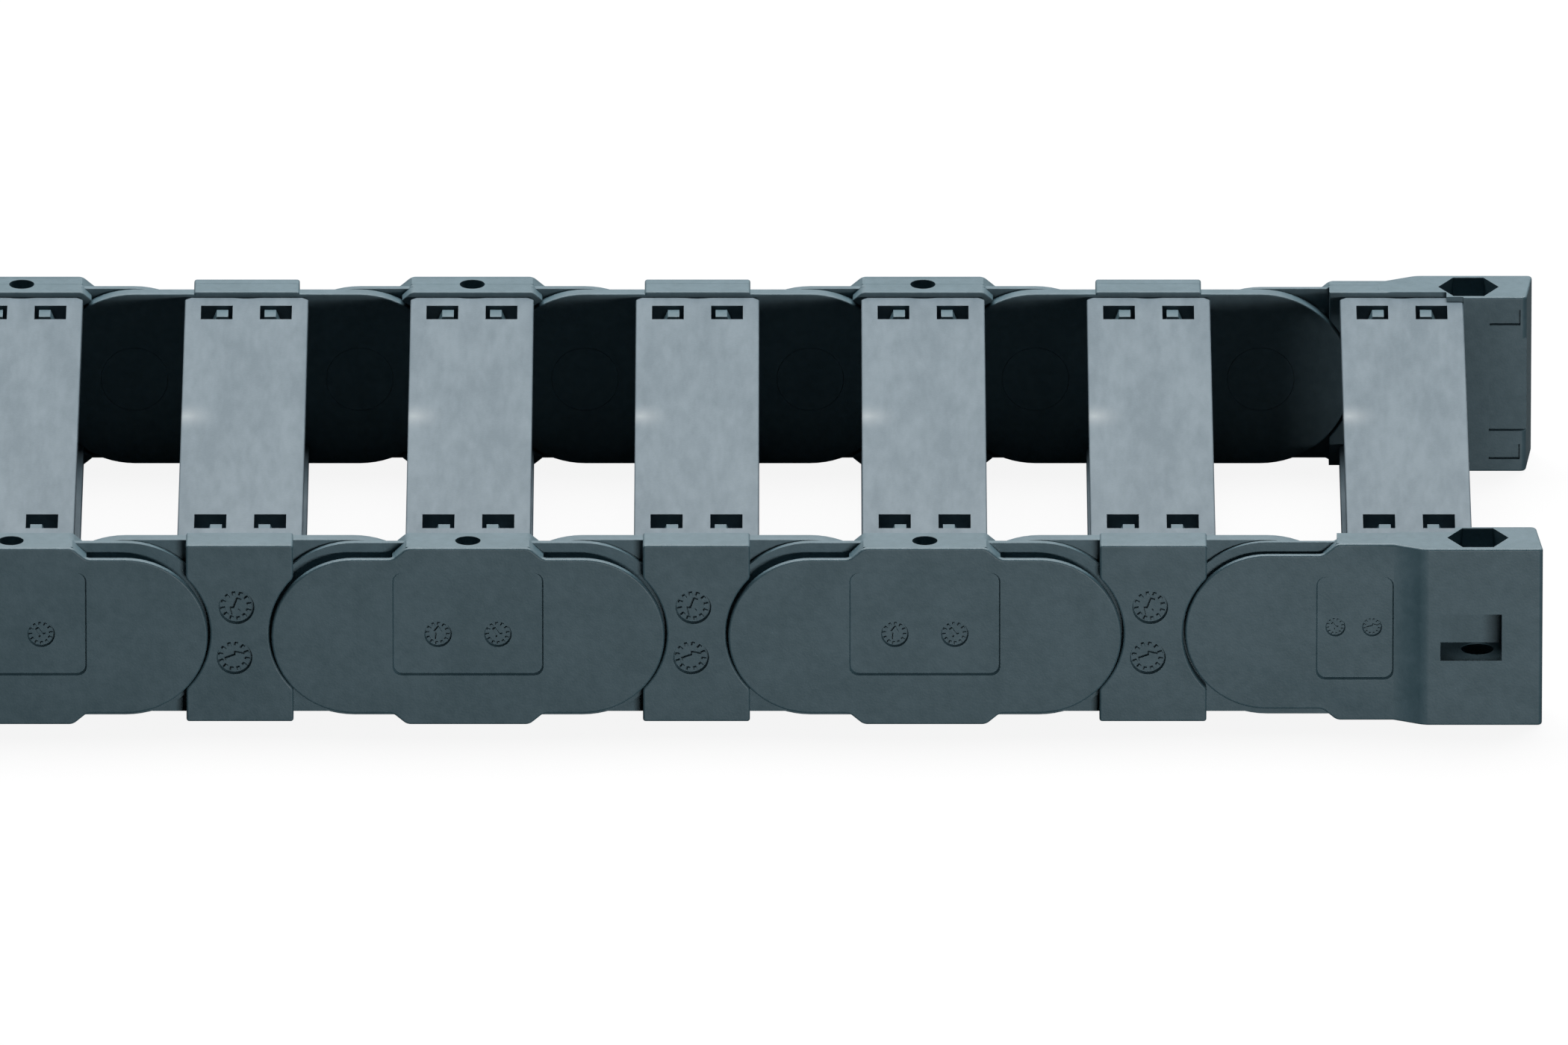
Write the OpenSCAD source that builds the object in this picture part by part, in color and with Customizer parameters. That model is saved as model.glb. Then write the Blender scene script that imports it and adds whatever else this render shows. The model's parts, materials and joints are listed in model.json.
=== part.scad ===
// Cable drag chain: links of two kinds that alternate between two mounting brackets.
// Every link is two side plates and two crossbars. The chain lies straight along X, stands on
// Z = 0 and curls upwards only: the stops in its hinges hold it straight against its own weight.
// The origin is under the middle of the chain.

/* [Chain] */
// Distance from one hinge axis to the next
pitch = 30.5; // [29:0.1:34]
// Number of links of the inner kind, with the outer kind between them
inner_links = 4; // [2:1:6]
// Height of the chain over its tabs
plate_h = 25.2; // [25:0.1:28]
// Clear width between the side plates, where the cables lie
inner_w = 90.6; // [30:0.2:150]
// How far each hinge lets the next link turn, in degrees
bend_angle = 22.5; // [10:0.5:30]

/* [Side plates] */
// Thickness of a whole side of the chain
side_t = 6.2; // [5.6:0.1:7]
// Thickness of the outer layer, the one with the pockets
outer_t = 4; // [3.8:0.1:4.4]
// How far an inner link's face stands back from the outer links' faces
face_step = 1.1; // [0:0.1:1.4]
// Radius of the rounded ends at the outer face
end_r = 11; // [10.8:0.1:11.6]
// Radius of the rounded ends behind the groove, where the layers reach almost to the tabs
rear_r = 12.3; // [11.9:0.1:12.4]
// Gap between a rounded end and the plate it turns against
end_gap = 0.3; // [0.2:0.05:0.5]
// Gap between two layers that turn on each other
layer_gap = 0.15; // [0.1:0.05:0.25]
// Width of an outer link's tab at its free edge
tab_w = 16.4; // [15:0.1:17.5]
// Width of the slope at each end of that tab
tab_slope = 1.9; // [1:0.1:2.5]
// Width of an inner link's face at its free edges
face_w = 14.3; // [12:0.1:15.5]
// Diameter of the hole in an outer link's tab
tab_hole_d = 3.4; // [2:0.1:3.6]
// Depth of the hole in an outer link's tab
tab_hole_depth = 6; // [2:0.5:8]

/* [Rim groove] */
// Thickness of the lip in front of the groove
front_lip_t = 0.8; // [0.6:0.1:1]
// Thickness of the lip behind the groove
rear_lip_t = 1; // [0.6:0.1:1.2]
// Depth of the groove, measured from the outer face's rim
groove_depth = 1.8; // [1:0.1:2]

/* [Hinge] */
// Radius of the hinge pin moulded on each outer plate
pin_r = 4.5; // [3.5:0.1:5]
// Gap all round the hinge pin
pin_gap = 0.05; // [0.03:0.01:0.08]
// Radius of the boss on an inner plate that carries the bore
boss_r = 8.1; // [7.8:0.1:8.2]
// Gap all round the boss in its pocket
boss_gap = 0.2; // [0.1:0.05:0.25]
// Wall left in front of the pocket
pocket_wall = 2.6; // [2.5:0.1:2.8]
// Width of each stop, as an angle at the hinge
stop_angle = 24; // [16:1:30]
// Play between a stop and the end of its notch, as an angle
stop_play = 1; // [0.5:0.1:2]
// How far each stop reaches in from the pocket's rim
stop_reach = 1.9; // [1.2:0.1:2.2]

/* [Panel] */
// Width of the panel on an outer link
panel_w = 20.2; // [16:0.1:21]
// Width of the panel on a bracket
bracket_panel_w = 10.4; // [8:0.1:12]
// Height of the panels
panel_h = 14.7; // [10:0.1:16]
// Height of the panel's middle above the hinge axis
panel_lift = 1.8; // [0:0.1:2]
// How far the panels are sunk into the face
panel_sink = 0.3; // [0.1:0.05:0.4]
// Radius of the panel's corners
panel_r = 1.2; // [0.5:0.1:3]

/* [Crossbar] */
// Width of a crossbar along the chain
bar_w = 16.7; // [15:0.1:17]
// Thickness of a crossbar
bar_t = 2.5; // [2:0.1:3]
// How far the crossbars lie below the tabs
bar_recess = 0.7; // [0.5:0.1:1.5]
// Size of the small chamfer on a crossbar's four corners, which clears the bracket's screw
bar_corner = 0.8; // [0.8:0.1:1.2]
// Gap round a crossbar in its seat
bar_gap = 0.1; // [0.05:0.05:0.2]
// Length of a window along the chain
window_l = 4.3; // [3.6:0.1:4.6]
// Length of a window across the chain
window_w = 5.2; // [4:0.1:6]
// Distance of the windows from the crossbar's middle
window_x = 4; // [3.6:0.1:4.4]
// Thickness left between a window and the crossbar's end
window_edge = 3.2; // [3:0.1:4]
// Depth of the shallow hollow in the middle of a crossbar's end
hollow_depth = 0.5; // [0.2:0.1:0.8]
// Radius of that hollow
hollow_r = 6; // [3:0.5:10]
// Width of a snap lug
lug_w = 2.1; // [1.5:0.1:2.4]
// Thickness of a snap lug
lug_t = 2.8; // [1.2:0.1:3]
// Distance of the lugs from the link's middle
lug_x = 3.5; // [3.3:0.1:3.9]
// Height of the arms under the crossbar that carry the lugs
lug_root = 2.4; // [2:0.1:4]
// How far a lug's head stays below the crossbar's top
lug_drop = 0.5; // [0.2:0.1:1]
// Length of the ledge that a crossbar's end lies on
ledge_l = 9; // [6:0.5:9]
// Width of the ledge
ledge_w = 1.5; // [1:0.1:2]

/* [Brackets] */
// Distance from the bracket's hinge to its free end
bracket_l = 36.8; // [36:0.1:40]
// Distance from the bracket's hinge to the middle of its crossbars
bracket_bar_x = 19; // [18.5:0.1:20]
// Distance from the bracket's hinge to the start of its tab
bracket_tab_x = 9.3; // [8.5:0.1:9.8]
// Distance from the bracket's hinge to the left edge of its panel
bracket_panel_x = 6.5; // [5:0.1:7]
// Length of the sloping face between the plate and the thick block
slope_l = 4; // [3:0.1:4.5]
// How far the bracket's plate stands back from the links' outer faces
bracket_step = 1.6; // [0:0.1:1.7]
// Thickness of the lips in front of and behind the groove on the bracket's rim
bracket_lip_t = 0.7; // [0.6:0.1:0.8]
// How far the block stands out from the links' outer faces
block_raise = 0.3; // [0:0.1:1]
// Thickness of the block
block_t = 8.6; // [8.6:0.1:10]
// Distance from the bracket's hinge to its screw
screw_x = 28.1; // [28.1:0.1:30]
// Diameter of the screw hole, for an M4 screw
screw_d = 4.3; // [4.2:0.1:4.5]
// Width across the flats of the nut pocket
nut_w = 7.1; // [7.05:0.05:7.3]
// Wall between the nut pocket and the block's inner face
nut_wall = 0.6; // [0.6:0.1:1]
// Depth of the nut pocket, so that the nut lies lower than the crossbar beside it
nut_depth = 7; // [6.8:0.1:7.6]
// Distance from the bracket's hinge to the middle of the square window in its side
slot_x = 27.2; // [26.8:0.1:28]
// Length of the window
slot_l = 8.2; // [7.5:0.1:9]
// Height of the window
slot_h = 6.6; // [6:0.1:7]
// Depth of the window
slot_depth = 6.8; // [6:0.1:7.6]
// Height of the shallow recess in the block's inner face
recess_h = 13.4; // [10:0.1:14]
// Depth of that recess
recess_depth = 0.8; // [0.4:0.1:1]
// Distance from the screw to the start of the recess
recess_start = 2.8; // [2.8:0.1:3.4]
// Width of the two small snap pockets beside the recess
snap_w = 4.2; // [2:0.1:5]
// Height of the snap pockets
snap_h = 2.2; // [1.5:0.1:2.4]

/* [Hidden] */
$fn = 96;
over = 1; // how far a cut runs past the face it opens in

link_total = 2 * inner_links - 1;
last = link_total + 1; // number of the moving bracket, the fixed one being 0
chain_w = inner_w + 2 * side_t;
half_w = chain_w / 2;
pivot_z = plate_h / 2;
outer_link_span = pitch / 2; // from a link's middle to its hinge

groove_r = end_r - groove_depth;
pocket_r = boss_r + boss_gap;
notch_r = pocket_r - stop_reach - boss_gap;
notch_angle = stop_angle + bend_angle + 2 * stop_play;

seat_z = plate_h - bar_recess - bar_t; // the height that an upper crossbar lies at
ledge_z = seat_z - pivot_z;
bar_l = chain_w - 2 * (side_t + bar_gap);
lug_d = side_t + bar_gap + window_edge + bar_gap; // from the outer face to a lug's head
lug_top = plate_h - bar_recess - lug_drop;
block_in = block_t - block_raise; // the block's inner face, from the links' outer faces
screw_depth = block_in - nut_wall - nut_w / 2;
recess_x = screw_x + recess_start;
snap_z = (recess_h + plate_h) / 4;
tab_edge = tab_w / 2 + tab_slope;

plastic = [0.31, 0.39, 0.41];
bar_plastic = [0.55, 0.62, 0.65];

segment_names = [
    for (i = [0 : last])
        i == 0 ? "fixed_end" : i == last ? "moving_end" : str("link_", i)
];
piece_names = ["front_plate", "rear_plate", "top_bar", "bottom_bar"];

// The plates are drawn as front plates: X along the chain, Y the depth behind the outer face and
// Z up, with the hinge axes at Z = 0.

// A flat outline, drawn in X and Z, given thickness from depth d0 to depth d1
module layer(d0, d1) {
    translate([0, d1, 0]) rotate([90, 0, 0]) linear_extrude(d1 - d0) children();
}

// A rectangle between two X and two Z values
module area(x0, x1, z0, z1) {
    translate([x0, z0]) square([x1 - x0, z1 - z0]);
}

// The two hinge places of a link
module at_hinges() {
    for (side = [-1, 1]) translate([side * outer_link_span, 0]) children();
}

// A long round-ended outline about both hinges of a link
module long_round(r) {
    at_hinges() circle(r);
    area(-outer_link_span, outer_link_span, -r, r);
}

// A rectangle with rounded corners
module rounded(w, h, r) {
    for (x = [-1, 1], z = [-1, 1])
        translate([x * (w / 2 - r), z * (h / 2 - r)]) circle(r);
    square([w - 2 * r, h], center = true);
    square([w, h - 2 * r], center = true);
}

// The outline that fits between the rounded ends, of radius r, of two neighbouring links
module waisted(w, r) {
    difference() {
        square([w, plate_h], center = true);
        at_hinges() circle(r + end_gap);
    }
}

// An outline seen above the hinge axis and again, turned over, below it
module both_ways() {
    children();
    mirror([0, 1]) children();
}

// A wedge of an angle about the hinge axis, starting straight ahead
module wedge(angle, r) {
    steps = 6;
    polygon(concat([[0, 0]], [for (k = [0 : steps]) r * [cos(angle * k / steps), sin(angle * k / steps)]]));
}

// Two stops of a ring, opposite each other, from radius r0 to radius r1 and from angle a0
module stop_pair(a0, angle, r0, r1) {
    for (turn = [0, 180])
        rotate(a0 + turn) intersection() {
            difference() {
                circle(r1);
                circle(r0);
            }
            wedge(angle, 2 * r1);
        }
}

// The tabs of an outer link, sloping down at both ends, and the middle of the link between them
module outer_tabs() {
    both_ways() polygon([
        [-tab_edge, 0], [-tab_edge, end_r], [-tab_w / 2, pivot_z],
        [tab_w / 2, pivot_z], [tab_edge, end_r], [tab_edge, 0]
    ]);
}

// The features of a hinge, drawn for a link's right end, at both of its ends
module at_both_ends() {
    for (side = [0, 1]) mirror([side, 0, 0]) translate([outer_link_span, 0, 0]) children();
}

// The round pocket on the inner side of an outer layer
module hinge_pocket() {
    layer(pocket_wall, outer_t + over) circle(pocket_r);
}

// The hinge pin and the stops in the pocket
module hinge_pin() {
    layer(pocket_wall - over / 2, side_t) circle(pin_r);
    layer(pocket_wall - over / 2, outer_t)
        stop_pair(90, stop_angle, pocket_r - stop_reach, pocket_r + over / 2);
}

// The boss on the end of an inner plate, which turns in the pocket
module hinge_boss() {
    layer(pocket_wall + layer_gap, outer_t + 2 * layer_gap) circle(boss_r);
}

// The bore through the boss, and the notches round it in which the stops move
module hinge_bore() {
    layer(0, side_t + over) circle(pin_r + pin_gap);
    mirror([1, 0, 0]) layer(0, outer_t + layer_gap)
        stop_pair(90 - bend_angle - stop_play, notch_angle, notch_r, pocket_r + over / 2);
}

// The ledges that the crossbars lie on and the lugs that snap into their windows, above and below
module bar_holders() {
    for (up = [0, 1]) mirror([0, 0, up]) {
        layer(side_t - over / 2, side_t + ledge_w)
            area(-ledge_l / 2, ledge_l / 2, ledge_z - lug_root, ledge_z);
        for (x = [-lug_x, lug_x]) {
            layer(side_t - over / 2, lug_d + lug_t)
                area(x - lug_w / 2, x + lug_w / 2, ledge_z - lug_root, ledge_z - bar_gap);
            layer(lug_d, lug_d + lug_t)
                area(x - lug_w / 2, x + lug_w / 2, ledge_z - lug_root, lug_top - pivot_z);
        }
    }
}

// The groove that runs round the rim of an outer layer, outside a tab
module rim_groove() {
    layer(front_lip_t, outer_t - rear_lip_t) difference() {
        long_round(rear_r + over);
        long_round(groove_r);
        children();
    }
}

// Side plate of an outer link: pockets and pins at both ends, a shallow panel in the middle
module outer_plate() {
    difference() {
        union() {
            layer(0, outer_t) {
                long_round(end_r);
                outer_tabs();
            }
            layer(outer_t - rear_lip_t, outer_t) long_round(rear_r);
            layer(0, side_t) intersection() {
                waisted(2 * tab_edge, rear_r);
                outer_tabs();
            }
        }
        layer(-over, panel_sink) translate([0, panel_lift]) rounded(panel_w, panel_h, panel_r);
        rim_groove() area(-tab_edge, tab_edge, -plate_h, plate_h);
        at_both_ends() hinge_pocket();
        for (up = [0, 1]) mirror([0, 0, up])
            translate([0, side_t / 2, pivot_z - tab_hole_depth])
                cylinder(d = tab_hole_d, h = tab_hole_depth + over);
    }
    at_both_ends() hinge_pin();
    bar_holders();
}

// Side plate of an inner link: a waisted face, and rounded ends that lie behind the outer plates
module inner_plate() {
    difference() {
        union() {
            layer(face_step, outer_t - rear_lip_t - layer_gap) waisted(face_w, end_r);
            layer(face_step, side_t) waisted(face_w, rear_r);
            layer(outer_t + layer_gap, side_t) long_round(rear_r);
            at_both_ends() hinge_boss();
        }
        at_both_ends() hinge_bore();
    }
    bar_holders();
}

// A half-round outline about the hinge that runs on to the right as far as x
module half_round(r, x) {
    circle(r);
    area(0, x, -r, r);
}

// Side plate of a bracket, drawn with its hinge at X = 0 and its block to the right
module bracket_plate() {
    slope_x = bracket_panel_x + bracket_panel_w;
    block_x = slope_x + slope_l;
    difference() {
        union() {
            layer(bracket_step, outer_t) half_round(end_r, bracket_tab_x);
            layer(outer_t - bracket_lip_t, outer_t) half_round(rear_r, bracket_tab_x);
            layer(bracket_step, outer_t) both_ways() polygon([
                [bracket_tab_x - tab_slope, 0], [bracket_tab_x - tab_slope, end_r],
                [bracket_tab_x, pivot_z], [block_x, pivot_z], [block_x, 0]
            ]);
            layer(bracket_step, side_t) difference() {
                area(bracket_tab_x, block_x, -pivot_z, pivot_z);
                circle(rear_r + end_gap);
            }
            translate([0, 0, -pivot_z]) linear_extrude(plate_h) polygon([
                [slope_x, bracket_step], [block_x, -block_raise], [bracket_l, -block_raise],
                [bracket_l, block_in], [block_x, block_in], [slope_x, side_t]
            ]);
        }
        layer(bracket_step + bracket_lip_t, outer_t - bracket_lip_t) difference() {
            half_round(rear_r + over, bracket_tab_x - tab_slope);
            half_round(groove_r, bracket_l);
        }
        layer(bracket_step - over, bracket_step + panel_sink)
            translate([bracket_panel_x + bracket_panel_w / 2, panel_lift / 3])
                rounded(bracket_panel_w, panel_h, panel_r);
        hinge_pocket();
        bracket_cuts();
    }
    mirror([1, 0, 0]) hinge_pin();
    translate([bracket_bar_x, 0, 0]) bar_holders();
}

// Everything cut into a bracket's block: room for the crossbars, screw hole, nut pocket, side
// window and inner recesses
module bracket_cuts() {
    layer(side_t, block_in + over) both_ways()
        area(bracket_bar_x - bar_w / 2 - bar_gap, bracket_bar_x + bar_w / 2 + bar_gap, ledge_z, plate_h);
    translate([screw_x, screw_depth, -plate_h]) cylinder(d = screw_d, h = 2 * plate_h);
    translate([screw_x, screw_depth, pivot_z - nut_depth])
        cylinder(d = nut_w / cos(30), h = nut_depth + over, $fn = 6);
    layer(-block_raise - over, slot_depth - block_raise)
        area(slot_x - slot_l / 2, slot_x + slot_l / 2, -slot_h / 2, slot_h / 2);
    layer(block_in - recess_depth, block_in + over) {
        area(recess_x, bracket_l + over, -recess_h / 2, recess_h / 2);
        for (z = [-snap_z, snap_z]) area(recess_x, recess_x + snap_w, z - snap_h / 2, z + snap_h / 2);
    }
}

// A crossbar, drawn in its upper place at X = 0, with the windows for the lugs
module bar() {
    difference() {
        translate([0, 0, seat_z]) linear_extrude(bar_t) difference() {
            square([bar_w, bar_l], center = true);
            for (x = [-1, 1], y = [-1, 1]) translate([x * bar_w / 2, y * bar_l / 2])
                polygon(bar_corner * [[x, 0], [0, y], [-x, 0], [0, -y]]);
        }
        for (side = [-1, 1], x = [-window_x, window_x])
            translate([x - window_l / 2, side * (bar_l / 2 - window_edge - window_w / 2) - window_w / 2, 0])
                cube([window_l, window_w, plate_h]);
        for (side = [-1, 1])
            translate([0, side * (bar_l / 2 - hollow_depth + hollow_r), seat_z + bar_t / 2])
                cylinder(r = hollow_r, h = bar_t);
    }
}

// Where segment i has its middle, or its hinge if it is a bracket
function segment_x(i) =
    i == 0 ? -link_total * pitch / 2 :
    i == last ? link_total * pitch / 2 :
    (i - last / 2) * pitch;

// The plate of segment i, in its place on the front side
module front_plate(i) {
    translate([segment_x(i), -half_w, pivot_z])
        if (i == 0) mirror([1, 0, 0]) bracket_plate();
        else if (i == last) bracket_plate();
        else if (i % 2 == 1) inner_plate();
        else outer_plate();
}

// The upper crossbar of segment i, in its place
module top_bar(i) {
    shift = i == 0 ? -bracket_bar_x : i == last ? bracket_bar_x : 0;
    translate([segment_x(i) + shift, 0, 0]) bar();
}

// Piece j of segment i, in the order of piece_names
module piece(i, j) {
    if (j == 0) color(plastic) front_plate(i);
    if (j == 1) color(plastic) mirror([0, 1, 0]) front_plate(i);
    if (j == 2) color(bar_plastic) top_bar(i);
    if (j == 3) color(bar_plastic) translate([0, 0, plate_h]) mirror([0, 0, 1]) top_bar(i);
}

for (i = [0 : last], j = [0 : 3])
    piece(i, j);
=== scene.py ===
import json
from math import acos, cos, degrees, radians, sin, sqrt

import bmesh
import bpy
from mathutils import Matrix, Vector


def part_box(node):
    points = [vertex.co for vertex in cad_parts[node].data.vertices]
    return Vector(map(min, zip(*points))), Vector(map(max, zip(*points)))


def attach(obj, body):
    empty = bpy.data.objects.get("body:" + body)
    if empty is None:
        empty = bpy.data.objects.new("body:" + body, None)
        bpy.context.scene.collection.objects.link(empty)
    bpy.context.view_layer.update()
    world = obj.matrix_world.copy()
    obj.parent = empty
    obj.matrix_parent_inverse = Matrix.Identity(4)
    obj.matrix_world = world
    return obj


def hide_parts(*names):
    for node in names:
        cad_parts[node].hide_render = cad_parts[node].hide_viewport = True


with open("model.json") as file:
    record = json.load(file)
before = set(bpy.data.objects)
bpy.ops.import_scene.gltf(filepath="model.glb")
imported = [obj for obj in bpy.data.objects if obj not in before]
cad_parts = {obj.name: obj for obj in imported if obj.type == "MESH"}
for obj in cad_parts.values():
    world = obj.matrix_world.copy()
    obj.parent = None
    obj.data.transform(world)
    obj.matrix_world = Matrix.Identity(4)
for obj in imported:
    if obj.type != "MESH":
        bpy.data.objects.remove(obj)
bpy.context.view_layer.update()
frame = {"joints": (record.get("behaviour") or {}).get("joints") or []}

# ---------------------------------------------------------------------------------------------
# Camera. A long lens looks at the chain's side from 21 degrees above, so that the far side
# stands above the near one and the moving end lies at the right of the picture.
mm = 0.001
view_height = radians(21)
view_width = 210.7 * mm
lens, sensor = 1100, 36
aim = Vector((42.2 * mm, -8.2 * mm, 12.34 * mm))
distance = view_width * lens / sensor

camera_data = bpy.data.cameras.new("camera")
camera_data.lens = lens
camera_data.sensor_width = sensor
camera_data.clip_end = 50
camera = bpy.data.objects.new("camera", camera_data)
camera.location = aim + distance * Vector((0, -cos(view_height), sin(view_height)))
camera.rotation_euler = (radians(90) - view_height, 0, 0)
bpy.context.scene.collection.objects.link(camera)
bpy.context.scene.camera = camera

# ---------------------------------------------------------------------------------------------
# Outer link plates. Each is one moulding of glass-filled nylon: an oval face with a groove round
# its rim, a tab above and below, and a shallow sunk panel with two moulder's date dials. Pockets
# with hinge pins on its back take the round ends of the neighbouring inner links.
hinges = [Vector(joint["pos_m"]) for joint in frame["joints"]]
pitch = hinges[1].x - hinges[0].x
reach = pitch / 2
hinge_z = hinges[0].z
face_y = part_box("link_2_front_plate")[0].y  # the outer faces of the front plates
half_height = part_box("link_1_front_plate")[1].z - hinge_z

end_r = 11 * mm  # the front lip of a round end
rear_r = 12.3 * mm  # its rear rim, which is wider
end_gap = 0.3 * mm
side_t = 6.2 * mm  # a whole side, of two layers that slide on each other at the hinges
outer_t = 4 * mm  # its outer layer
layer_gap = 0.15 * mm
tab_half = 8.2 * mm
tab_slope = 1.9 * mm
tab_hole_r = 1.7 * mm
tab_hole_depth = 6 * mm
back_half = 9.72 * mm  # half the back's width where its gaps to the round ends start
front_lip = 0.8 * mm
rear_lip = 1 * mm
groove_r = end_r - 1.8 * mm
pocket_r = 8.3 * mm
pocket_wall = 2.6 * mm
pin_r = 4.5 * mm
bite = 0.1 * mm  # how far two joined shapes run into each other
past = 1 * mm  # how far a cut runs on past the face that it opens
arc_step = 5  # degrees between two points of an arc
tiny = 1e-7  # points nearer than this, in metres, are in one place


def draw(bm, start, *strokes):
    """A line in X and Z: a stroke is the point it runs to, or the centre and angle of an arc."""
    pen = bmesh.ops.create_vert(bm, co=(start[0], 0, start[1]))["vert"][0]
    for stroke in strokes:
        if len(stroke) == 2:
            pen = bmesh.ops.extrude_vert_indiv(bm, verts=[pen])["verts"][0]
            pen.co = (stroke[0], 0, stroke[1])
        else:
            x, z, angle = stroke
            swept = bmesh.ops.spin(
                bm, geom=[pen], cent=(x, 0, z), axis=(0, -1, 0), angle=radians(angle),
                steps=max(3, round(abs(angle) / arc_step)), use_merge=False, use_duplicate=False)
            pen = swept["geom_last"][0]


def slab(near, far, *line, mirrors="XZ", corner=0, front=0, back=0, less=0):
    """A flat shape from depth near to depth far, its outline drawn and mirrored, its rims rounded.
    A layer that is a hair less in outline than its neighbour joins it cleanly."""
    bm = bmesh.new()
    draw(bm, *line)
    for axis in mirrors:
        bmesh.ops.mirror(bm, geom=bm.verts[:] + bm.edges[:], merge_dist=tiny, axis=axis)
    bmesh.ops.remove_doubles(bm, verts=bm.verts[:], dist=1e-6)
    bmesh.ops.contextual_create(bm, geom=bm.edges[:])
    if corner:
        corners = [v for v in bm.verts if v.calc_edge_angle() > radians(12)]
        bmesh.ops.bevel(bm, geom=corners, offset=corner, segments=4, profile=0.5,
                        affect="VERTICES", clamp_overlap=True, material=-1)
    bmesh.ops.translate(bm, verts=bm.verts[:], vec=(0, near, 0))
    grown = bmesh.ops.extrude_face_region(bm, geom=bm.faces[:])["geom"]
    moved = [v for v in grown if isinstance(v, bmesh.types.BMVert)]
    bmesh.ops.translate(bm, verts=moved, vec=(0, far - near, 0))
    bmesh.ops.recalc_face_normals(bm, faces=bm.faces[:])
    for depth, radius in ((near, front), (far, back)):
        if radius:
            rim = [e for e in bm.edges if all(abs(v.co.y - depth) < tiny for v in e.verts)]
            bmesh.ops.bevel(bm, geom=rim, offset=radius, segments=3, profile=0.5,
                            affect="EDGES", clamp_overlap=True, material=-1)
    bmesh.ops.scale(bm, verts=bm.verts[:], vec=(1 - less, 1, 1 - less))
    return bm


def drum(near, far, r, x=0, z=0, steps=72):
    """A cylinder along Y."""
    bm = bmesh.new()
    place = Matrix.Translation((x, (near + far) / 2, z)) @ Matrix.Rotation(radians(90), 4, "X")
    bmesh.ops.create_cone(bm, cap_ends=True, segments=steps, radius1=r, radius2=r,
                          depth=far - near, matrix=place)
    return bm


def post(low, high, r, x, y, steps=48):
    """A cylinder along Z."""
    bm = bmesh.new()
    bmesh.ops.create_cone(bm, cap_ends=True, segments=steps, radius1=r, radius2=r,
                          depth=high - low, matrix=Matrix.Translation((x, y, (low + high) / 2)))
    return bm


def joined(*shapes):
    """Shapes that don't touch, as one."""
    whole = bmesh.new()
    for bm in shapes:
        mesh = bpy.data.meshes.new("step")
        bm.to_mesh(mesh)
        bm.free()
        whole.from_mesh(mesh)
        bpy.data.meshes.remove(mesh)
    return whole


def brick(x, y, z, edge=0):
    """A block between two X, two Y and two Z values."""
    bm = bmesh.new()
    low, high = Vector((x[0], y[0], z[0])), Vector((x[1], y[1], z[1]))
    size = Matrix.Diagonal((*(high - low), 1))
    bmesh.ops.create_cube(bm, size=1, matrix=Matrix.Translation((low + high) / 2) @ size)
    if edge:
        bmesh.ops.bevel(bm, geom=bm.edges[:], offset=edge, segments=2, profile=0.5,
                        affect="EDGES", clamp_overlap=True, material=-1)
    return bm


def loose_object(bm):
    """An object for a boolean step, in millimetres because the solver's tolerances suit them."""
    mesh = bpy.data.meshes.new("step")
    bmesh.ops.scale(bm, verts=bm.verts[:], vec=(1 / mm, 1 / mm, 1 / mm))
    bm.to_mesh(mesh)
    bm.free()
    thing = bpy.data.objects.new("step", mesh)
    bpy.context.scene.collection.objects.link(thing)
    return thing


def combine(body, how, tools):
    """Joins the tools to a body (UNION) or cuts them out of it (DIFFERENCE). Slivers thinner than
    0.002 mm are taken out of the result and the small holes that they leave are closed."""
    things = [loose_object(bm) for bm in [body, *tools]]
    for tool in things[1:]:
        step = things[0].modifiers.new("step", "BOOLEAN")
        step.operation = how
        step.solver = "EXACT"
        step.object = tool
    shaped = things[0].evaluated_get(bpy.context.evaluated_depsgraph_get())
    bm = bmesh.new()
    bm.from_mesh(shaped.data)
    bmesh.ops.dissolve_degenerate(bm, dist=0.002, edges=bm.edges[:])
    bmesh.ops.holes_fill(bm, edges=[e for e in bm.edges if e.is_boundary], sides=4)
    bmesh.ops.scale(bm, verts=bm.verts[:], vec=(mm, mm, mm))
    for thing in things:
        mesh = thing.data
        bpy.data.objects.remove(thing)
        bpy.data.meshes.remove(mesh)
    return bm


def stops(near, far, inner, outer, start, angle):
    """Two opposite pieces of a ring about a hinge, turning from a start angle."""
    pieces = []
    for turn in (start, start + 180):
        a = radians(turn)
        way = Vector((cos(a), sin(a)))
        b = a + radians(angle)
        back = Vector((cos(b), sin(b)))
        pieces.append(slab(near, far, tuple(inner * way), tuple(outer * way), (0, 0, angle),
                           tuple(inner * back), (0, 0, -angle), mirrors=""))
    return pieces


stop_reach = 1.9 * mm  # how far a stop stands into its pocket
stop_root = 0.5 * mm  # how far it runs into the pocket's wall
stop_short = 0.02 * mm  # how far it ends before the pocket's rim
stop_start = 90  # degrees
stop_angle = 24


def pocket_stops():
    """The two stops in a pocket, which end the hinge's turning."""
    return stops(pocket_wall - bite, outer_t - stop_short, pocket_r - stop_reach, pocket_r + stop_root,
                 stop_start, stop_angle)


def moved(bm, x):
    """The shape moved along X."""
    bmesh.ops.translate(bm, verts=bm.verts[:], vec=(x, 0, 0))
    return bm


def turned_over(bm, axis):
    """The shape seen in a mirror across an axis, with its faces still outwards."""
    scale = {"X": (-1, 1, 1), "Y": (1, -1, 1), "Z": (1, 1, -1)}[axis]
    bmesh.ops.scale(bm, verts=bm.verts[:], vec=scale)
    bmesh.ops.reverse_faces(bm, faces=bm.faces[:])
    return bm


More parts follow.
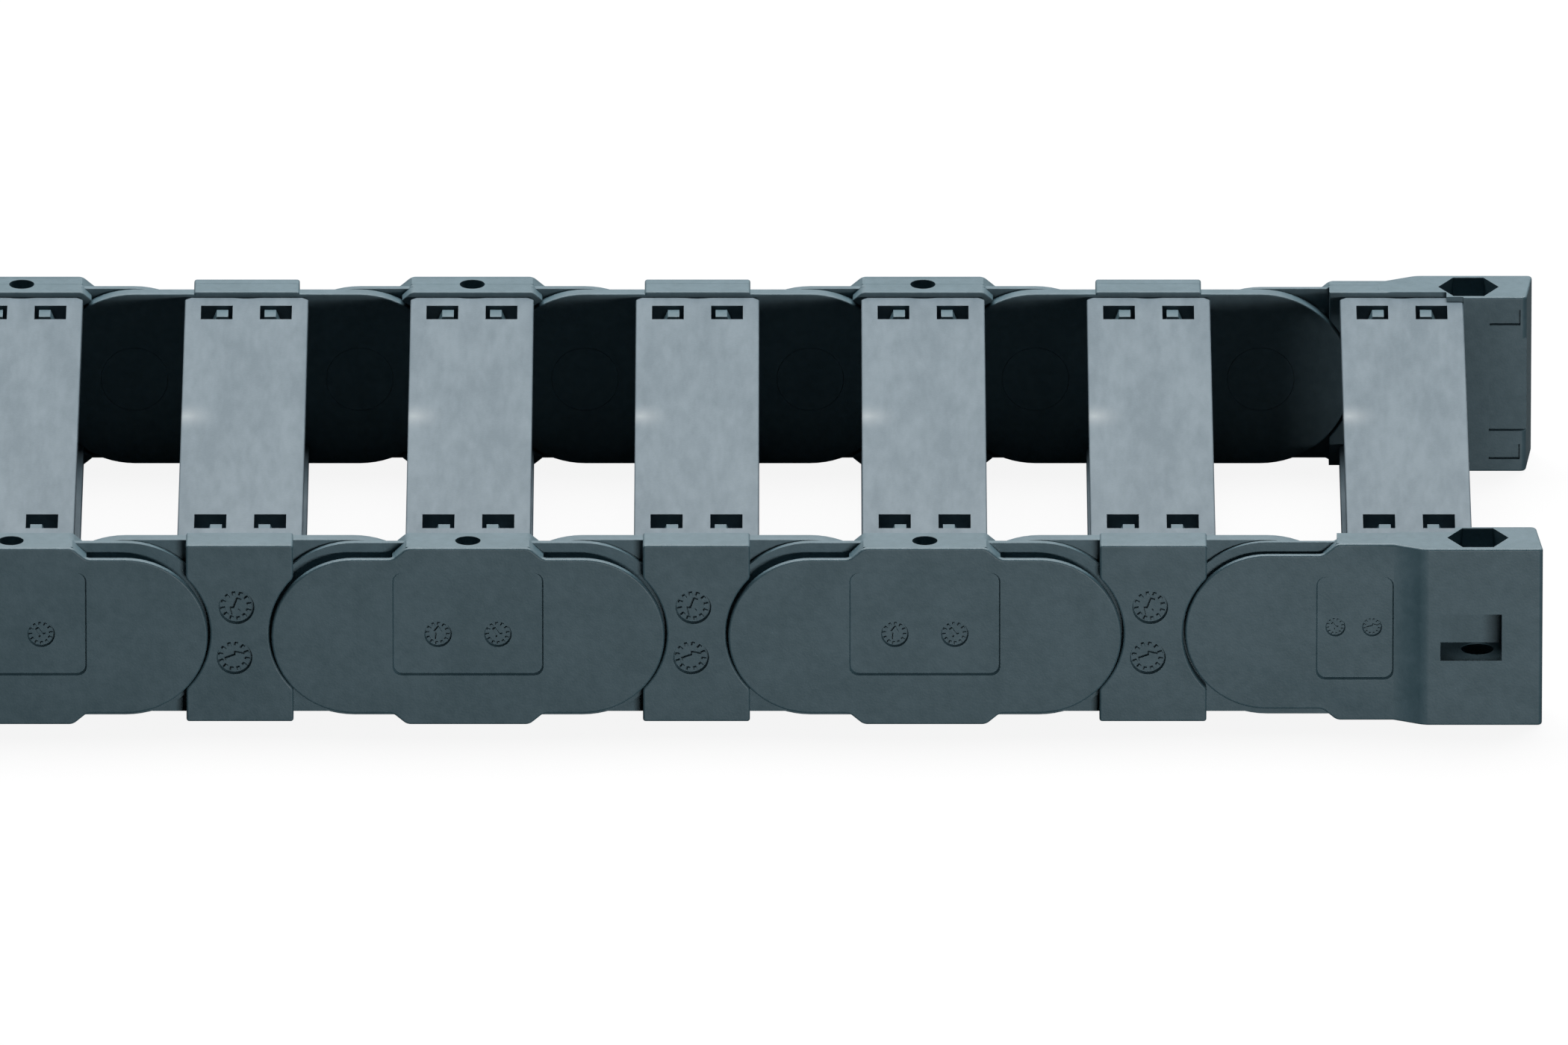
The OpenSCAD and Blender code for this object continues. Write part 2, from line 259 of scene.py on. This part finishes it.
seat = 9.4 * mm  # height of the crossbar's ledge above the hinge axis
ledge_half = 4.5 * mm
ledge_out = 1.5 * mm
bar_half = 8.35 * mm
bar_gap = 0.1 * mm
bar_top = 11.9 * mm
arm_x = 2.5 * mm
lug_x = 2.45 * mm
lug_crest = 4 * mm
lug_tip = 4.95 * mm
lug_near = 9.6 * mm
lug_far = 12.4 * mm
lug_root = seat - 2.4 * mm
lug_top = bar_top - 0.5 * mm


def bar_holders(x=0):
    """Above and below: a ledge that the crossbar lies on and two hooked lugs that it snaps over."""
    found = []
    for up in (False, True):
        ledge = brick((-ledge_half, ledge_half), (side_t - bite, side_t + ledge_out), (lug_root, seat))
        arms = []
        for side in (-1, 1):
            arm = brick((arm_x, ledge_half), (side_t - bite, lug_near + mm), (lug_root, seat - bar_gap))
            hook = slab(lug_near, lug_far, (lug_x, lug_root), (lug_x, lug_top), (lug_crest, lug_top),
                        (lug_tip, seat - bar_gap), (lug_tip, lug_root), (lug_x, lug_root),
                        mirrors="", front=0.15 * mm, back=0.15 * mm)
            arms += [arm, hook] if side > 0 else [turned_over(arm, "X"), turned_over(hook, "X")]
        holder = moved(combine(ledge, "UNION", arms), x)
        found.append(holder if up else turned_over(holder, "Z"))
    return found


def oval_with_tabs(r):
    """A quarter of the outer link's outline, its round end of radius r."""
    knee = tab_half + tab_slope * min(1, (half_height - r) / (half_height - end_r))
    return ((0, half_height), (tab_half, half_height), (knee, max(r, end_r)), (knee, r), (reach, r),
            (reach, 0, -90))


def waist(top, half, r):
    """A quarter of an outline that fits between two round ends of radius r."""
    gap_r = r + end_gap
    meet = sqrt(gap_r ** 2 - (reach - half) ** 2)
    turn = degrees(acos((reach - half) / gap_r))
    return ((0, half_height), (top, half_height), (half, meet), (reach, 0, turn))


def swung(bm, angle, x=0, z=0):
    """The shape turned about Y and then moved."""
    bmesh.ops.rotate(bm, verts=bm.verts[:], cent=(0, 0, 0), matrix=Matrix.Rotation(radians(angle), 3, "Y"))
    bmesh.ops.translate(bm, verts=bm.verts[:], vec=(x, 0, z))
    return bm


def dish(bm, far, shrink):
    """The shape with its far side drawn in all round, so that what it cuts has sloping walls."""
    rim = [v for v in bm.verts if abs(v.co.y - far) < tiny]
    size = max(v.co.x for v in rim), max(v.co.z for v in rim)
    bmesh.ops.scale(bm, verts=rim, vec=(1 - shrink / size[0], 1, 1 - shrink / size[1]))
    return bm


skin = 0.05 * mm  # how far a shallow cut starts outside its face
dial_slope = 0.15 * mm
arrow_in = 0.05 * mm  # how far the arrow and the ticks lie under the face
tick_in = 0.1 * mm


def dial(x, z, r, face, turn):
    """A moulder's date dial: the round recess to cut, and the ticks and the arrow that stand in it,
    drawn in shares of its radius."""
    floor = face + 0.27 * r
    recess = swung(dish(drum(face - skin, floor, r, steps=48), floor, dial_slope), 0, x, z)
    arrow = slab(face + arrow_in, floor + bite, (0, 0.58 * r), (0.27 * r, 0.16 * r), (0.11 * r, 0.1 * r),
                 (0.11 * r, -0.48 * r), (0, -0.48 * r), mirrors="X")
    ticks = []
    for hour in range(12):
        tick = brick((-0.07 * r, 0.07 * r), (face + tick_in, floor + bite), (0.64 * r, 0.85 * r))
        ticks.append(swung(tick, 30 * hour))
    return recess, swung(joined(arrow, *ticks), turn, x, z)


panel_in = 0.45 * mm
panel_h = 14.7 * mm
panel_slope = 0.2 * mm


def panel(x, z, w, face=0):
    """A shallow field with rounded corners, to cut into a face for the dials to lie in."""
    bm = slab(-skin, panel_in, (0, panel_h / 2), (w / 2, panel_h / 2), (w / 2, 0), corner=1.2 * mm)
    dish(bm, panel_in, panel_slope)
    bmesh.ops.translate(bm, verts=bm.verts[:], vec=(x, face, z))
    return bm


ejector_r = 1.6 * mm
ejector_in = 0.12 * mm
ejector_z = 4.6 * mm


def ejector_mark(side):
    """The faint round print that a pin of the mould leaves on a plate's back."""
    return swung(drum(side_t - ejector_in, side_t + past, ejector_r), 0, 0, side * ejector_z)


outer_plate = slab(0, front_lip, *oval_with_tabs(end_r), corner=0.5 * mm, front=0.3 * mm)
core = slab(front_lip - bite, outer_t - rear_lip + bite, *oval_with_tabs(groove_r), less=0.001)
rear = slab(outer_t - rear_lip, outer_t, *oval_with_tabs(rear_r), corner=0.2 * mm, back=0.15 * mm,
            less=0.002)
back = slab(outer_t - bite, side_t, *waist(tab_half, back_half, rear_r), corner=0.4 * mm, back=0.2 * mm,
            less=0.003)
outer_plate = combine(outer_plate, "UNION", [core, rear, back])
panel_w = 20.2 * mm
panel_z = 1.8 * mm
outer_plate = combine(outer_plate, "DIFFERENCE", [panel(0, panel_z, panel_w)])
dial_r = 1.85 * mm
dial_z = 0.2 * mm
dials = [dial(x, dial_z, dial_r, panel_in, turn) for x, turn in ((-4 * mm, 5), (4 * mm, 145))]
cuts = [recess for recess, inside in dials]
for side in (-1, 1):
    cuts.append(drum(pocket_wall, outer_t + past, pocket_r, x=side * reach))
    low, high = sorted((side * (half_height - tab_hole_depth), side * (half_height + past)))
    cuts.append(post(low, high, tab_hole_r, 0, side_t / 2))
    cuts.append(ejector_mark(side))
outer_plate = combine(outer_plate, "DIFFERENCE", cuts)
adds = bar_holders() + [inside for recess, inside in dials]
for side in (-1, 1):
    adds.append(drum(pocket_wall - bite, side_t, pin_r, x=side * reach))
    for stop in pocket_stops():
        adds.append(moved(stop if side > 0 else turned_over(stop, "X"), side * reach))
outer_plate = combine(outer_plate, "UNION", adds)


def moulded(name, colour, pale, flow=1):
    """Glass-filled nylon from a spark-eroded mould: fine even grain, faint clouding that may be
    drawn out along Y where the melt ran, and a satin sheen."""
    material = bpy.data.materials.new(name)
    material.use_nodes = True
    nodes, links = material.node_tree.nodes, material.node_tree.links
    shader = nodes["Principled BSDF"]
    on_piece = nodes.new("ShaderNodeTexCoord")
    clouds = nodes.new("ShaderNodeTexNoise")
    clouds.inputs["Scale"].default_value = 170
    clouds.inputs["Detail"].default_value = 4
    speckle = nodes.new("ShaderNodeTexNoise")
    speckle.inputs["Scale"].default_value = 800
    speckle.inputs["Detail"].default_value = 3
    drawn = nodes.new("ShaderNodeMapping")
    drawn.inputs["Scale"].default_value = (1, flow, 1)
    links.new(on_piece.outputs["Object"], drawn.inputs["Vector"])
    for mottle in (clouds, speckle):
        links.new(drawn.outputs["Vector"], mottle.inputs["Vector"])
    both = nodes.new("ShaderNodeMath")
    both.operation = "ADD"
    links.new(clouds.outputs["Fac"], both.inputs[0])
    links.new(speckle.outputs["Fac"], both.inputs[1])
    spread = nodes.new("ShaderNodeMapRange")
    spread.inputs["From Min"].default_value = 0.75
    spread.inputs["From Max"].default_value = 1.25
    links.new(both.outputs["Value"], spread.inputs["Value"])
    tint = nodes.new("ShaderNodeMix")
    tint.data_type = "RGBA"
    tint.inputs["A"].default_value = (*colour, 1)
    tint.inputs["B"].default_value = (*pale, 1)
    links.new(spread.outputs["Result"], tint.inputs["Factor"])
    links.new(tint.outputs["Result"], shader.inputs["Base Color"])
    grain = nodes.new("ShaderNodeTexNoise")
    grain.inputs["Scale"].default_value = 3200
    grain.inputs["Detail"].default_value = 3
    links.new(on_piece.outputs["Object"], grain.inputs["Vector"])
    rough = nodes.new("ShaderNodeMapRange")
    rough.inputs["To Min"].default_value = 0.42
    rough.inputs["To Max"].default_value = 0.56
    links.new(grain.outputs["Fac"], rough.inputs["Value"])
    links.new(rough.outputs["Result"], shader.inputs["Roughness"])
    bump = nodes.new("ShaderNodeBump")
    bump.inputs["Strength"].default_value = 0.35
    bump.inputs["Distance"].default_value = 0.05 * mm
    links.new(grain.outputs["Fac"], bump.inputs["Height"])
    links.new(bump.outputs["Normal"], shader.inputs["Normal"])
    return material


plate_nylon = moulded("plate_nylon", (0.051, 0.103, 0.127), (0.072, 0.13, 0.158))


def place(shape, node, x, body, material, slot, mirror_x=False, y=face_y, z=hinge_z):
    """A finished copy of a shape in one node's place: at the rear and below it is turned over."""
    bm = shape.copy()
    if mirror_x:
        turned_over(bm, "X")
    bmesh.ops.translate(bm, verts=bm.verts[:], vec=(x, y, z))
    if "rear" in node:
        turned_over(bm, "Y")
    if "bottom" in node:
        bmesh.ops.translate(bm, verts=bm.verts[:], vec=(0, 0, -hinge_z))
        turned_over(bm, "Z")
        bmesh.ops.translate(bm, verts=bm.verts[:], vec=(0, 0, hinge_z))
    mesh = bpy.data.meshes.new(node)
    bm.to_mesh(mesh)
    bm.free()
    mesh.shade_smooth()
    mesh.set_sharp_from_angle(angle=radians(35))
    mesh.materials.append(material)
    piece = bpy.data.objects.new(node + "_moulding", mesh)
    bpy.context.scene.collection.objects.link(piece)
    flat = piece.modifiers.new("flat faces", "WEIGHTED_NORMAL")
    flat.keep_sharp = True
    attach(piece, body)
    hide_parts(node)
    return piece


def link_middle(number):
    """Where along X a link's middle is, halfway between its hinges."""
    return (hinges[number - 1].x + hinges[number].x) / 2


for number in (2, 4, 6):
    for side in ("front", "rear"):
        node = f"link_{number}_{side}_plate"
        place(outer_plate, node, link_middle(number), f"link_{number}", plate_nylon, "plate_plastic")

# ---------------------------------------------------------------------------------------------
# Inner link plates. The same nylon: a waisted face that stands a little behind the outer links'
# faces, and round ends whose bored bosses turn on the outer plates' pins, between notches for the
# stops.
face_half = 7.15 * mm
face_back = 1.1 * mm
boss_r = 8.1 * mm
pin_gap = 0.05 * mm
bend = 22.5  # degrees that a hinge turns
stop_slack = 1  # degrees between a stop and its notch's end
notch_gap = 0.2 * mm
split = outer_t - rear_lip - layer_gap
inner_plate = slab(face_back, split, *waist(face_half, face_half, end_r), corner=0.35 * mm, front=0.3 * mm)
behind = slab(split - bite, side_t, *waist(face_half, face_half, rear_r), corner=0.35 * mm,
              back=0.25 * mm, less=0.001)
ends = slab(outer_t + layer_gap, side_t, (0, rear_r), (reach, rear_r), (reach, 0, -90),
            front=0.15 * mm, back=0.25 * mm, less=0.002)
bosses = [drum(pocket_wall + layer_gap, outer_t + layer_gap + bite, boss_r, x=side * reach)
          for side in (-1, 1)]
inner_plate = combine(inner_plate, "UNION", [behind, ends, *bosses])
large_dial_r = 2.4 * mm
dials = [dial(x, z, large_dial_r, face_back, turn)
         for x, z, turn in ((-0.4 * mm, 3.8 * mm, 200), (-0.7 * mm, -3.4 * mm, 70))]
cuts = [recess for recess, inside in dials]
for side in (-1, 1):
    cuts.append(ejector_mark(side))
    cuts.append(drum(0, side_t + past, pin_r + pin_gap, x=side * reach))
    notch = stops(0, outer_t + layer_gap, pocket_r - stop_reach - notch_gap, pocket_r + stop_root,
                  stop_start - bend - stop_slack, stop_angle + bend + 2 * stop_slack)
    cuts += [moved(cut if side < 0 else turned_over(cut, "X"), side * reach) for cut in notch]
inner_plate = combine(inner_plate, "DIFFERENCE", cuts)
inner_plate = combine(inner_plate, "UNION", bar_holders() + [inside for recess, inside in dials])
for number in (1, 3, 5, 7):
    for side in ("front", "rear"):
        node = f"link_{number}_{side}_plate"
        place(inner_plate, node, link_middle(number), f"link_{number}", plate_nylon, "plate_plastic")

# ---------------------------------------------------------------------------------------------
# Brackets. One nylon moulding each side: a round end with pocket and pin like an outer link's, a
# sunk panel with two dials, and a thicker block for an M4 screw, with a hexagon pocket for its
# nut on top, a square window in its side and shallow recesses inside.
seat_x = 19 * mm
tab_x = 9.3 * mm
slope_x = 16.9 * mm
block_x = 20.9 * mm
block_end = 36.8 * mm
block_taper = 0.9 * mm
block_out = 0.3 * mm
block_in = 8.3 * mm
screw_x = 28.1 * mm
screw_y = 4.15 * mm
screw_r = 2.15 * mm
nut_flats = 7.1 * mm
nut_depth = 7 * mm
step_in = 1.6 * mm  # how far the plate stands back from the links' outer faces
lip = 0.7 * mm
window_x = 27.2 * mm
window_half = 4.1 * mm
window_up = 3.3 * mm
window_in = 6.5 * mm
recess_x = screw_x + 2.8 * mm
recess_in = 0.8 * mm
recess_up = 6.7 * mm
slot_l = 4.2 * mm
slot_half = 1.1 * mm
slot_z = 9.7 * mm


def bracket_end(r, far_x):
    """The upper half of the bracket's outline, with a round end of radius r about the hinge."""
    knee = tab_x - tab_slope * min(1, (half_height - r) / (half_height - end_r))
    return ((-r, 0), (0, 0, -90), (knee, r), (knee, max(r, end_r)), (tab_x, half_height),
            (far_x, half_height), (far_x, 0))


def upright(bm):
    """A slab drawn in X and depth, stood up so that its thickness is its height."""
    swap = Matrix(((1, 0, 0, 0), (0, 0, 1, 0), (0, 1, 0, 0), (0, 0, 0, 1)))
    bmesh.ops.transform(bm, verts=bm.verts[:], matrix=swap)
    bmesh.ops.reverse_faces(bm, faces=bm.faces[:])
    return bm


lap_x = slope_x + 1.2 * mm  # the plate runs on into the block up to here
run_in = 0.3  # how far the slope is drawn back into the plate, as a share of its length
slope_start = (slope_x - run_in * (block_x - slope_x), step_in + run_in * (step_in + block_out))
inner_start = (slope_start[0], side_t - run_in * (block_in - side_t))
block = upright(slab(
    -half_height, half_height, slope_start, (block_x, -block_out),
    (block_end, -block_out), (block_end - block_taper, block_in), (block_x, block_in), inner_start,
    slope_start, mirrors="", corner=0.7 * mm, front=0.3 * mm, back=0.3 * mm))
bracket = slab(step_in, step_in + lip, *bracket_end(end_r, lap_x), mirrors="Z", corner=0.5 * mm,
               front=0.3 * mm, less=0.001)
core = slab(step_in + lip - bite, outer_t - lip + bite, *bracket_end(groove_r, lap_x), mirrors="Z",
            less=0.002)
rear = slab(outer_t - lip, outer_t, *bracket_end(rear_r, lap_x), mirrors="Z", corner=0.2 * mm,
            back=0.15 * mm, less=0.003)
gap_r = rear_r + end_gap
back = slab(outer_t - bite, side_t, (gap_r, 0), (0, 0, degrees(acos(tab_x / gap_r))), (tab_x, half_height),
            (lap_x, half_height), (lap_x, 0), mirrors="Z", back=0.2 * mm, less=0.004)
bracket = combine(bracket, "UNION", [core, rear, back, block])
middle_z = 0.6 * mm
small_panel_w = 10.4 * mm
small_panel_x = 11.7 * mm
bracket = combine(bracket, "DIFFERENCE", [panel(small_panel_x, middle_z, small_panel_w, step_in)])
small_dial_r = 1.35 * mm
dials = [dial(x, middle_z, small_dial_r, step_in + panel_in, turn)
         for x, turn in ((9.1 * mm, 140), (14 * mm, 75))]
nut = post(half_height - nut_depth, half_height + past, nut_flats / sqrt(3), screw_x, screw_y, steps=6)
bmesh.ops.rotate(nut, verts=nut.verts[:], cent=(screw_x, screw_y, 0),
                 matrix=Matrix.Rotation(radians(30), 3, "Z"))
nook_x = 6.1 * mm  # from the bracket bar's middle to the notch that clears the nut pocket
nook_y = 8 * mm
bar_fit = 0.02 * mm
bar_rooms = [  # the bar's bed in the block, beside the notch and behind it
    ((seat_x - bar_half - bar_fit, seat_x + nook_x - bar_fit), (side_t, block_in + past)),
    ((seat_x + mm, seat_x + bar_half + bar_fit), (nook_y - bar_fit, block_in + past))]
recess_y = (block_in - recess_in, block_in + past)
cuts = [recess for recess, inside in dials] + [
    *(brick(*room, span) for room in bar_rooms
      for span in ((seat, half_height + past), (-half_height - past, -seat))),
    drum(pocket_wall, outer_t + past, pocket_r),
    post(-half_height - past, half_height + past, screw_r, screw_x, screw_y),
    nut,
    brick((window_x - window_half, window_x + window_half), (-block_out - past, window_in),
          (-window_up, window_up)),
    brick((recess_x, block_end + past), recess_y, (-recess_up, recess_up)),
    *(brick((recess_x, recess_x + slot_l), recess_y, (z - slot_half, z + slot_half))
      for z in (-slot_z, slot_z))]
bracket = combine(bracket, "DIFFERENCE", cuts)
adds = bar_holders(seat_x) + [inside for recess, inside in dials] + [drum(pocket_wall - bite, side_t, pin_r)]
adds += [turned_over(stop, "X") for stop in pocket_stops()]
bracket = combine(bracket, "UNION", adds)
for end, x, mirrored in (("fixed_end", hinges[0].x, True), ("moving_end", hinges[-1].x, False)):
    for side in ("front", "rear"):
        place(bracket, f"{end}_{side}_plate", x, end, plate_nylon, "plate_plastic", mirror_x=mirrored)

# ---------------------------------------------------------------------------------------------
# Crossbars. Flat moulded nylon strips that snap over the lugs, coloured a little paler than the plates
# as painted top light, with a painted highlight by the gate: chamfered corners, a pair of square
# windows and a shallow hollow at each end.
bar_t = 2.5 * mm
bar_end = 45.2 * mm
bar_corner = 0.8 * mm
bar_window_x = 4 * mm
bar_window_y = 39.4 * mm
bar_window_half = 2.15 * mm
bar_window_long = 2.6 * mm  # half its length along the bar
hollow_r = 6 * mm
hollow_y = bar_end + 5.5 * mm
half_width = -face_y
crossbar = upright(slab(
    seat, seat + bar_t, (0, bar_end), (bar_half - bar_corner, bar_end), (bar_half, bar_end - bar_corner),
    (bar_half, 0), mirrors="XZ", front=0.25 * mm, back=0.25 * mm))
cuts = []
for side in (-1, 1):
    middle = side * bar_window_y
    for x in (-bar_window_x, bar_window_x):
        cuts.append(brick((x - bar_window_half, x + bar_window_half),
                          (middle - bar_window_long, middle + bar_window_long),
                          (seat - past, bar_top + past)))
    cuts.append(post(seat + bar_t / 2, bar_top + past, hollow_r, 0, side * hollow_y, steps=96))
crossbar = combine(crossbar, "DIFFERENCE", cuts)
notched_bar = combine(crossbar.copy(), "DIFFERENCE", [
    brick((nook_x, bar_half + past), span, (seat - past, bar_top + past))
    for span in ((half_width - nook_y, half_width), (-half_width, nook_y - half_width))])
for bar in (crossbar, notched_bar):
    own = bar.loops.layers.uv.new("own")  # places on the bar in millimetres from its middle
    for face in bar.faces:
        for loop in face.loops:
            loop[own].uv = (loop.vert.co.x / mm, loop.vert.co.y / mm)

# painted top light: the bars' colours are a little paler than the plates', for the light that falls on their
# tops
bar_nylon_painted_top_light = moulded("bar_nylon_painted_top_light", (0.07, 0.11, 0.136), (0.112, 0.157, 0.186), flow=0.2)
nodes, links = bar_nylon_painted_top_light.node_tree.nodes, bar_nylon_painted_top_light.node_tree.links
on_bar = nodes.new("ShaderNodeUVMap")
on_bar.uv_map = "own"
gate_highlight_place = nodes.new("ShaderNodeMapping")  # a painted highlight, for light caught by the gate's shallow scoop, lies at one long edge
gate_highlight_place.inputs["Location"].default_value = (1.6, 0, 0)
gate_highlight_place.inputs["Scale"].default_value = (0.21, 0.16, 1)
links.new(on_bar.outputs["UV"], gate_highlight_place.inputs["Vector"])
gate_highlight_spot = nodes.new("ShaderNodeTexGradient")
gate_highlight_spot.gradient_type = "QUADRATIC_SPHERE"
links.new(gate_highlight_place.outputs["Vector"], gate_highlight_spot.inputs["Vector"])
shader = nodes["Principled BSDF"]
plain = shader.inputs["Base Color"].links[0].from_socket
# painted highlight: the base colour turns paler towards the gate's spot, standing in for light that its
# shallow scoop would catch
painted_gate_highlight = nodes.new("ShaderNodeMix")
painted_gate_highlight.data_type = "RGBA"
painted_gate_highlight.inputs["B"].default_value = (0.25, 0.29, 0.31, 1)
links.new(gate_highlight_spot.outputs["Fac"], painted_gate_highlight.inputs["Factor"])
links.new(plain, painted_gate_highlight.inputs["A"])
links.new(painted_gate_highlight.outputs["Result"], shader.inputs["Base Color"])
bar_places = {f"link_{number}": link_middle(number) for number in range(1, len(hinges))}
bar_places["fixed_end"] = hinges[0].x - seat_x
bar_places["moving_end"] = hinges[-1].x + seat_x
for body, x in bar_places.items():
    for level in ("top", "bottom"):
        bar = notched_bar if "end" in body else crossbar
        place(bar, f"{body}_{level}_bar", x, body, bar_nylon_painted_top_light, "crossbar_plastic",
              mirror_x=body == "fixed_end", y=0)

# ---------------------------------------------------------------------------------------------
# Floor and light. A pale studio floor that runs on behind the chain as a white backdrop, one
# broad soft light from above and behind, and a low strip light from the front.
floor_half = 3
floor_mesh = bpy.data.meshes.new("floor")
bm = bmesh.new()
bmesh.ops.create_grid(bm, x_segments=1, y_segments=1, size=floor_half)
bm.to_mesh(floor_mesh)
bm.free()
floor = bpy.data.objects.new("floor", floor_mesh)
bpy.context.scene.collection.objects.link(floor)
paper = bpy.data.materials.new("floor_paper")
paper.use_nodes = True
nodes, links = paper.node_tree.nodes, paper.node_tree.links
nodes.remove(nodes["Principled BSDF"])
matt = nodes.new("ShaderNodeBsdfDiffuse")
matt.inputs["Color"].default_value = (0.09, 0.09, 0.09, 1)
bright = nodes.new("ShaderNodeBsdfDiffuse")
bright.inputs["Color"].default_value = (0.9, 0.9, 0.9, 1)
glow = nodes.new("ShaderNodeEmission")
seen = nodes.new("ShaderNodeMixShader")
seen.inputs["Fac"].default_value = 0.9
links.new(bright.outputs["BSDF"], seen.inputs[1])
links.new(glow.outputs["Emission"], seen.inputs[2])
path = nodes.new("ShaderNodeLightPath")
pick = nodes.new("ShaderNodeMixShader")
links.new(path.outputs["Is Camera Ray"], pick.inputs["Fac"])
links.new(matt.outputs["BSDF"], pick.inputs[1])
links.new(seen.outputs["Shader"], pick.inputs[2])
links.new(pick.outputs["Shader"], nodes["Material Output"].inputs["Surface"])
floor_mesh.materials.append(paper)

# white for the camera, bright behind the chain in its reflections, and a dim room otherwise
world = bpy.data.worlds.new("studio")
bpy.context.scene.world = world
world.use_nodes = True
nodes, links = world.node_tree.nodes, world.node_tree.links
room = nodes["Background"]
room.inputs["Color"].default_value = (0.015, 0.015, 0.015, 1)
way = nodes.new("ShaderNodeTexCoord")
nearness = nodes.new("ShaderNodeVectorMath")
nearness.operation = "DOT_PRODUCT"
nearness.inputs[1].default_value = (0, cos(view_height), sin(view_height))
links.new(way.outputs["Generated"], nearness.inputs[0])
fade = nodes.new("ShaderNodeMapRange")
fade.interpolation_type = "SMOOTHSTEP"
fade.inputs["From Min"].default_value = 0.3
fade.inputs["From Max"].default_value = 0.95
fade.inputs["To Min"].default_value = 0.03
fade.inputs["To Max"].default_value = 0.8
links.new(nearness.outputs["Value"], fade.inputs["Value"])
backdrop = nodes.new("ShaderNodeBackground")
links.new(fade.outputs["Result"], backdrop.inputs["Color"])
white = nodes.new("ShaderNodeBackground")
white.inputs["Color"].default_value = (1, 1, 1, 1)
path = nodes.new("ShaderNodeLightPath")
glossy = nodes.new("ShaderNodeMixShader")
links.new(path.outputs["Is Glossy Ray"], glossy.inputs["Fac"])
links.new(room.outputs["Background"], glossy.inputs[1])
links.new(backdrop.outputs["Background"], glossy.inputs[2])
pick = nodes.new("ShaderNodeMixShader")
links.new(path.outputs["Is Camera Ray"], pick.inputs["Fac"])
links.new(glossy.outputs["Shader"], pick.inputs[1])
links.new(white.outputs["Background"], pick.inputs[2])
links.new(pick.outputs["Shader"], nodes["World Output"].inputs["Surface"])

lit = Vector((0.04, 0, 0.012))  # the place in the chain that both lights point at
for name, width, height, power, spot in (
        ("top", 1.4, 0.8, 30, (0.05, 0.55, 1.1)),
        ("front", 0.4, 0.05, 6.6, (0.36, -1.2, 0.033))):
    softbox = bpy.data.lights.new(name, "AREA")
    softbox.shape = "RECTANGLE"
    softbox.size, softbox.size_y = width, height
    softbox.energy = power
    lamp = bpy.data.objects.new(name, softbox)
    lamp.location = spot
    lamp.rotation_euler = (lit - lamp.location).to_track_quat("-Z", "Y").to_euler()
    bpy.context.scene.collection.objects.link(lamp)

bpy.context.scene.view_settings.view_transform = "Standard"
